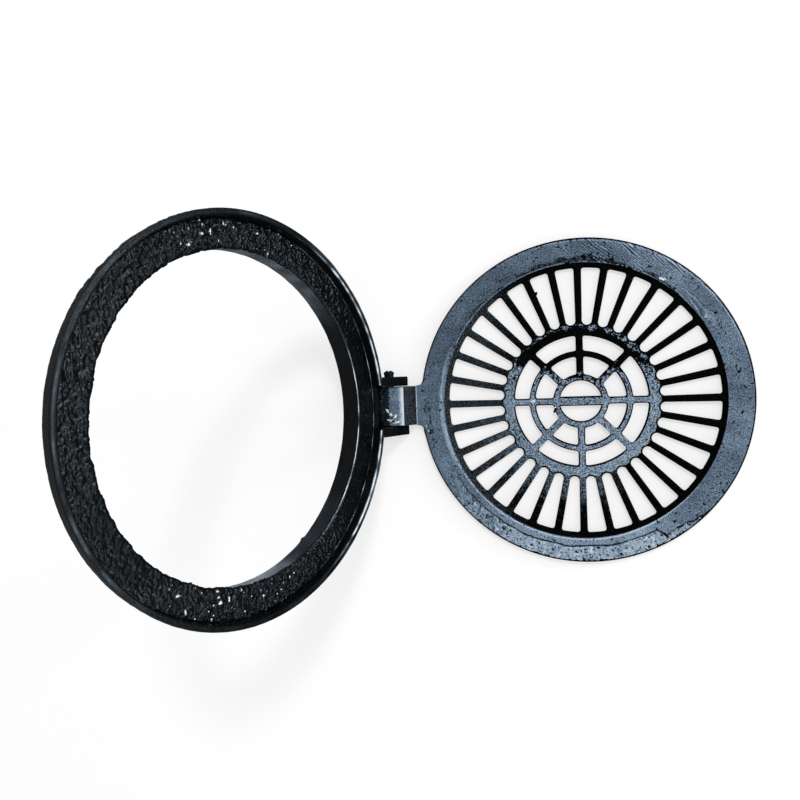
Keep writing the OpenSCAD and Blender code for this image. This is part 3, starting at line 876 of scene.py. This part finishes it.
class DRAIN_OT_flakes(bpy.types.Operator):
    """Chips of bare iron and burrs on the grate: lumpy ellipsoids, half sunk into the casting"""
    bl_idname = "drain.flakes"
    bl_label = "Flakes"

    def execute(self, context):
        s = context.scene.drain_grate
        high, low, knuckle = s.rim_height - 0.25, s.bar_height - 0.1, s.knuckle_top - 0.15
        # Name, place, length, width and height in mm, turn in degrees, bare or painted
        rows = (
            ("rim_chip_upper", (49.3, 71.6, high), 7.0, 2.0, 0.42, -24, bare_iron),
            ("rim_chip_right", (73.3, 48.0, high), 5.2, 2.1, 0.42, -10, bare_iron),
            ("rim_burr_top", (-6.0, 85.2, high), 5.0, 1.6, 0.42, 3, grate_paint),
            ("bar_burr", (-25.3, 67.1, low - 0.9), 2.6, 1.6, 0.9, 70, grate_paint),
            ("medallion_burr", (-15.2, -4.6, low), 4.2, 1.7, 0.6, 62, grate_paint),
            ("medallion_burr_chip", (-15.6, -3.6, low + 0.4), 1.5, 0.8, 0.35, 20, bare_iron),
            ("medallion_chip", (-28.9, 0.6, low), 2.4, 1.4, 0.4, 20, bare_iron),
            ("knuckle_flake_1", (-120.2, -2.6, knuckle), 3.2, 1.5, 0.4, -55, bare_iron),
            ("knuckle_flake_2", (-118.2, -5.0, knuckle), 3.6, 1.7, 0.4, -35, bare_iron),
            ("knuckle_flake_3", (-115.4, -6.6, knuckle), 3.4, 1.8, 0.4, 35, bare_iron),
            ("knuckle_flake_4", (-118.6, -8.8, knuckle), 4.4, 1.8, 0.4, -15, bare_iron),
            ("knuckle_flake_5", (-114.6, -10.2, knuckle), 4.6, 1.6, 0.4, 10, bare_iron),
            ("knuckle_scab_1", (-119.4, -4.4, knuckle), 2.8, 1.2, 0.5, 20, bitumen_frame_paint),
            ("knuckle_scab_2", (-116.8, -6.9, knuckle), 3.6, 1.0, 0.5, 48, bitumen_frame_paint),
            ("knuckle_scab_3", (-116.4, -9.6, knuckle), 3.4, 1.0, 0.5, -30, bitumen_frame_paint),
            ("knuckle_scab_4", (-120.0, -7.2, knuckle), 3.0, 1.6, 0.5, 70, bitumen_frame_paint),
            ("tab_flake_1", (-97.0, -13.6, high), 1.6, 0.9, 0.42, 60, bare_iron),
            ("tab_flake_2", (-95.6, -16.4, high), 2.4, 1.2, 0.42, 60, bare_iron),
            ("tab_flake_3", (-97.6, -8.8, high), 1.8, 0.8, 0.42, 100, bare_iron),
        )
        rings, columns = 14, 28
        across, around = np.meshgrid(np.linspace(0.04, math.pi - 0.04, rings),
                                     np.arange(columns) * 2 * math.pi / columns, indexing="ij")
        ball = np.stack([np.sin(across) * np.cos(around), np.sin(across) * np.sin(around), np.cos(across)], axis=-1)
        ball = ball.reshape(-1, 3)
        self.scale(s)
        for number, (name, place, length, width, height, turn, finish) in enumerate(rows):
            shape = ball * np.array([length, width, height]) / np.array([2, 2, 1])
            rough = lattice_noise(shape + 7 * number, 0.9, 41)
            shape *= (1 + np.array([0.5, 0.5, 0.12]) * rough[:, None])
            c, d = math.cos(math.radians(turn)), math.sin(math.radians(turn))
            x, y, z = shape.T
            shape = np.stack([x * c - y * d, x * d + y * c, z], axis=1)
            make_piece(name, (shape + place) * MM, grid_faces(rings, columns, close_rows=False),
                       material_of(finish), "grate", end_caps(rings, columns), 60)
        return {"FINISHED"}

    def scale(self, s):
        """Rough scale on the round side of the knuckle: radius = the knuckle's + thickness + noise, over an
        arc about the pin and the knuckle's width, thinning to nothing at its upper and lower ends."""
        pin_x, pin_z = HINGE["pos_m"][0] / MM, HINGE["pos_m"][2] / MM
        turns, rows, half_width = 70, 90, 12.7
        angle, y = np.meshgrid(np.linspace(math.radians(94), math.radians(218), turns),
                               np.linspace(-half_width, half_width, rows), indexing="ij")
        flat = np.stack([angle * 7, y, np.zeros_like(y)], axis=-1).reshape(-1, 3)
        noise = (0.5 * lattice_noise(flat, 2.2, 43) + 0.4 * lattice_noise(flat, 1.1, 44)).reshape(y.shape)
        degrees = np.degrees(angle)
        ragged = 100 + 7 * lattice_noise(flat, 2.6, 45).reshape(y.shape) + 5 * noise
        thick = s.scale_thickness * window(degrees, ragged, 219, 34)
        thick += 0.9 * noise * window(degrees, ragged, 219, 18)
        thick += np.where((degrees > ragged) & (degrees < 214), 0.12, -0.25)
        end = unit((half_width - np.abs(y)) / 0.5)
        radius = s.knuckle_top - pin_z + thick - 0.5 * (1 - end)
        outside = np.stack([pin_x + radius * np.cos(angle), y, pin_z + radius * np.sin(angle)], axis=-1)
        inside = np.stack([pin_x + 6 * np.cos(angle), y, pin_z + 6 * np.sin(angle)], axis=-1)
        points = np.concatenate([outside, inside[:, ::-1]], axis=1)
        points[..., 2] = np.maximum(points[..., 2], 0.4)
        count = points.shape[1]
        make_piece("knuckle_scale", points.reshape(-1, 3) * MM, grid_faces(turns, count, close_rows=False),
                   material_of(bitumen_crust_paint), "grate", end_caps(turns, count), 60)


class DRAIN_OT_pin(bpy.types.Operator):
    """Hinge pin, finished as the frame is"""
    bl_idname = "drain.hinge_pin"
    bl_label = "Hinge pin"

    def execute(self, context):
        obj = merged_copy("hinge_pin", "split_hinge_pin")
        bevel = obj.modifiers.new("Edge round", "BEVEL")
        bevel.width = 0.4 * MM
        bevel.segments = 3
        bevel.limit_method = "ANGLE"
        bevel.angle_limit = math.radians(30)
        finish_piece(obj, material_of(bitumen_frame_paint), "frame")
        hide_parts("hinge_pin")
        return {"FINISHED"}


class DRAIN_OT_stage(bpy.types.Operator):
    """White table, soft studio light and the camera"""
    bl_idname = "drain.stage"
    bl_label = "Stage"

    def execute(self, context):
        s = context.scene.drain_stage
        half = s.floor_side / 2
        mesh = bpy.data.meshes.new("table")
        mesh.from_pydata([(-half, -half, 0), (half, -half, 0), (half, half, 0), (-half, half, 0)], [], [(0, 1, 2, 3)])
        floor = placed("table", mesh)
        floor.data.materials.append(white_floor())
        world = bpy.data.worlds.new("studio")
        world.use_nodes = True
        tree = world.node_tree
        tree.nodes.clear()
        out = tree.nodes.new("ShaderNodeOutputWorld")
        path = add(tree, "ShaderNodeLightPath")
        toward = add(tree, "ShaderNodeSeparateXYZ", {0: add(tree, "ShaderNodeTexCoord").outputs["Generated"]})
        overhead = spread(tree, toward.outputs["Z"], 0.1, 1.0, 1.25, 0.5)
        # The studio is darker on the side behind the open frame
        sideways = spread(tree, toward.outputs["X"], -0.9, 0.1, 0.3, 1.08)
        light = add(tree, "ShaderNodeBackground", {
            "Color": linear("#ffffff"), "Strength": times(tree, overhead, sideways)})
        seen = add(tree, "ShaderNodeBackground", {"Color": linear("#ffffff"), "Strength": 1.0})
        mix = add(tree, "ShaderNodeMixShader", {0: path.outputs["Is Camera Ray"], 1: light.outputs[0],
                                                2: seen.outputs[0]})
        tree.links.new(mix.outputs[0], out.inputs[0])
        context.scene.world = world
        lamp("key", (0.3, 1.1, 1.7), (0, 0, 0), 0.3, 11)
        lamp("glint_right", (1.6, 0.55, 0.4), (-0.15, 0, 0.1), 0.34, 10)
        lamp("glint_low", (1.3, -0.8, 0.35), (-0.15, 0, 0.1), 0.2, 3)
        camera = bpy.data.cameras.new("camera")
        camera.sensor_width = 36
        camera.lens = s.lens
        camera.clip_start = 0.01
        camera.clip_end = 20
        holder = placed("camera", camera)
        right, up = Vector(s.camera_right).normalized(), Vector(s.camera_up).normalized()
        back = right.cross(up)
        holder.matrix_world = Matrix.Translation(s.camera_place) @ Matrix((right, up, back)).transposed().to_4x4()
        context.scene.camera = holder
        context.scene.view_settings.view_transform = "Standard"
        return {"FINISHED"}


def lamp(name, place, target, side, power):
    """A square soft lamp at a place, turned to its target."""
    light = bpy.data.lights.new(name, "AREA")
    light.size = side
    light.energy = power
    obj = placed(name, light)
    obj.location = place
    obj.rotation_euler = (Vector(target) - Vector(place)).to_track_quat("-Z", "Y").to_euler()


MATERIALS = {}


def material_of(maker):
    """The material that a function makes, made once."""
    if maker not in MATERIALS:
        MATERIALS[maker] = maker()
    return MATERIALS[maker]


class DRAIN_PT_panel(bpy.types.Panel):
    """Lists the pieces"""
    bl_idname = "DRAIN_PT_panel"
    bl_label = "Storm drain grate"
    bl_space_type = "VIEW_3D"
    bl_region_type = "UI"
    bl_category = "Drain Grate"

    def draw(self, context):
        for operator in OPERATORS:
            self.layout.operator(operator.bl_idname)


GROUPS = {"drain_grate": DRAIN_PG_grate, "drain_frame": DRAIN_PG_frame, "drain_finish": DRAIN_PG_finish,
          "drain_stage": DRAIN_PG_stage}
OPERATORS = (DRAIN_OT_grate, DRAIN_OT_rim_skin, DRAIN_OT_flakes, DRAIN_OT_frame, DRAIN_OT_pin, DRAIN_OT_stage)
CLASSES = (*GROUPS.values(), *OPERATORS, DRAIN_PT_panel)


def register():
    """Registers the classes and hangs the property groups on the scene."""
    for cls in CLASSES:
        bpy.utils.register_class(cls)
    for name, group in GROUPS.items():
        setattr(bpy.types.Scene, name, bpy.props.PointerProperty(type=group))


def unregister():
    """Takes back what register did."""
    for name in GROUPS:
        delattr(bpy.types.Scene, name)
    for cls in reversed(CLASSES):
        bpy.utils.unregister_class(cls)


def main():
    """Builds every piece and the stage."""
    register()
    bpy.ops.drain.grate_casting()
    bpy.ops.drain.rim_skin()
    bpy.ops.drain.flakes()
    bpy.ops.drain.frame_casting()
    bpy.ops.drain.hinge_pin()
    bpy.ops.drain.stage()


if __name__ == "__main__":
    main()
